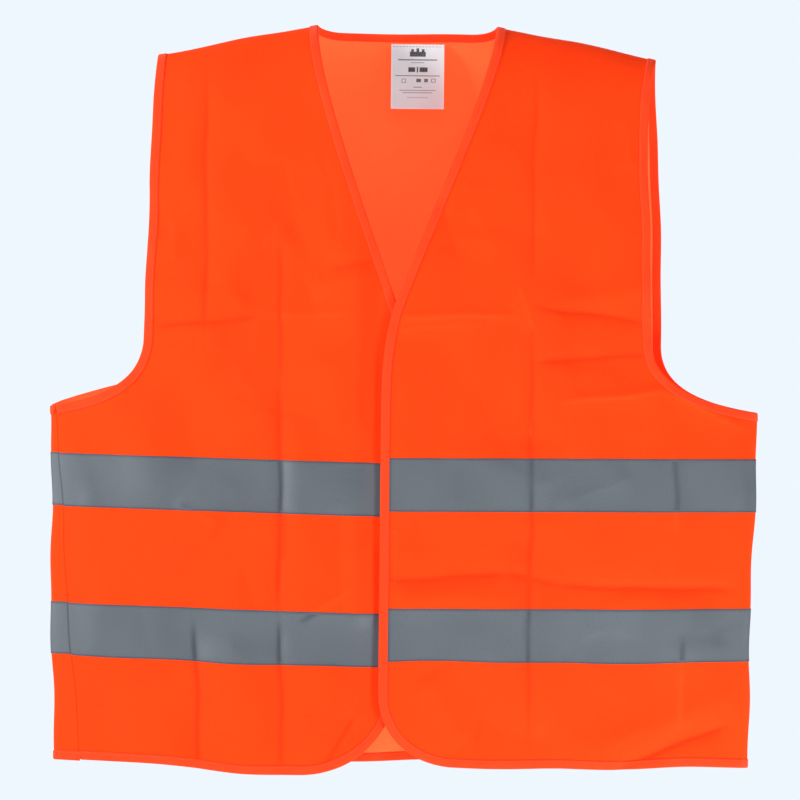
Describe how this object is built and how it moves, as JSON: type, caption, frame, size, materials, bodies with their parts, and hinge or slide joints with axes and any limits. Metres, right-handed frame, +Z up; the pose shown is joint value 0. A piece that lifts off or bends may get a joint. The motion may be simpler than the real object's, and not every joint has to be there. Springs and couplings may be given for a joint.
{
  "type": "high visibility vest",
  "caption": "Sleeveless safety vest with an open front that closes edge over edge, a V neck, bound edges and reflective tapes round the body.",
  "frame": {"origin": "the point between the shoulders that the neck opening hangs from, level with the back neck edge and midway from front to back and side to side", "axes": "+Z up, -Y towards the front of the wearer, +X towards the wearer's left"},
  "size_m": [0.6654, 0.0732, 0.7012],
  "materials": {
    "cloth": "fluorescent orange warp knit, slightly sheer",
    "binding": "folded orange edge binding",
    "reflective_tape": "grey glass bead tape",
    "hook_and_loop": "orange hook and loop",
    "label": "white satin label"
  },
  "bodies": {
    "garment": {"back_panel": "cloth", "left_front_side_panel": "cloth", "right_front_side_panel": "cloth", "back_upper_tape": "reflective_tape", "back_lower_tape": "reflective_tape", "left_side_upper_tape": "reflective_tape", "left_side_lower_tape": "reflective_tape", "right_side_upper_tape": "reflective_tape", "right_side_lower_tape": "reflective_tape", "neck_binding": "binding", "left_armhole_binding": "binding", "right_armhole_binding": "binding", "hem_binding": "binding", "left_shoulder_seam": "cloth", "right_shoulder_seam": "cloth", "left_side_seam": "cloth", "right_side_seam": "cloth"},
    "left_front_flap": {"left_front_flap_panel": "cloth", "left_flap_upper_tape": "reflective_tape", "left_flap_lower_tape": "reflective_tape", "left_front_edge_binding": "binding", "hook_patch": "hook_and_loop"},
    "right_front_flap": {"right_front_flap_panel": "cloth", "right_flap_upper_tape": "reflective_tape", "right_flap_lower_tape": "reflective_tape", "right_front_edge_binding": "binding", "loop_patch": "hook_and_loop"},
    "label": {"care_label": "label"}
  },
  "joints": [
    {"name": "left_front_open", "type": "hinge", "parent": "garment", "child": "left_front_flap", "pos_m": [0.064, -0.0372, -0.092], "axis": [-0.2055, -0.009, 0.9786], "range_deg": [0, 160]},
    {"name": "right_front_open", "type": "hinge", "parent": "garment", "child": "right_front_flap", "pos_m": [-0.064, -0.0372, -0.092], "axis": [-0.2055, 0.009, -0.9786], "range_deg": [0, 160]},
    {"name": "label_swing", "type": "hinge", "parent": "garment", "child": "label", "pos_m": [0.01, 0.02045, -0.0086], "axis": [-1, 0, 0], "range_deg": [-10, 125]}
  ],
  "couplings": [
    {"joint": "right_front_open", "follows": "left_front_open", "ratio": 1}
  ]
}
